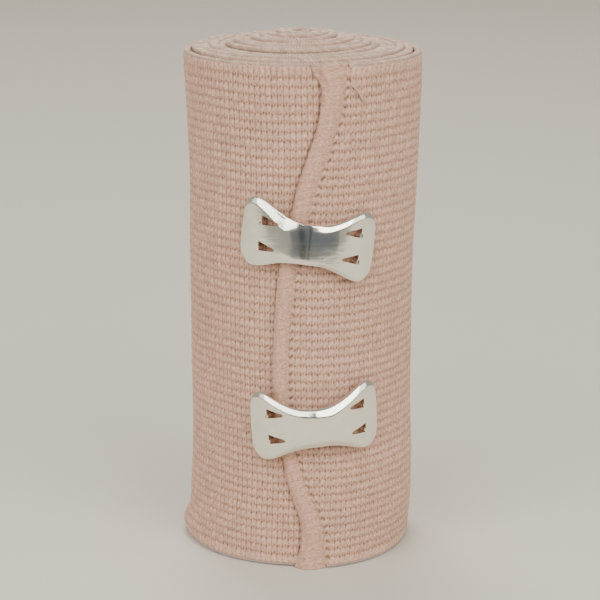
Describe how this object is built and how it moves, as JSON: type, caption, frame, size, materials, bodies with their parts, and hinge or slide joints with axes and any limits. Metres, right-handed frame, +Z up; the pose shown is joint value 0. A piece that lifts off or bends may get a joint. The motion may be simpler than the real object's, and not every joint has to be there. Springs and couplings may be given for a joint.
{
  "type": "elastic bandage",
  "caption": "Rolled knitted elastic bandage standing on its end, its wavy overlocked end held down by two bent bow-tie metal clips.",
  "frame": {"origin": "on the floor under the middle of the object's box, which is 1.8 mm in front of the roll's winding axis", "axes": "+Z up along the roll, -Y to the front where the hem and the clips are, +X to the right seen from the front"},
  "size_m": [0.0462, 0.0496, 0.1036],
  "materials": {
    "knitted_cotton": "matt ribbed elastic knit, pinkish beige",
    "overlock_thread": "fine overlock threads laid side by side, pinkish beige",
    "satin_aluminium": "stamped satin sheet with polished rolled edges and fine scratches"
  },
  "bodies": {
    "root": {"bandage_roll": "knitted_cotton", "end_hem": "overlock_thread", "clip_upper": "satin_aluminium", "clip_lower": "satin_aluminium"}
  },
  "joints": []
}
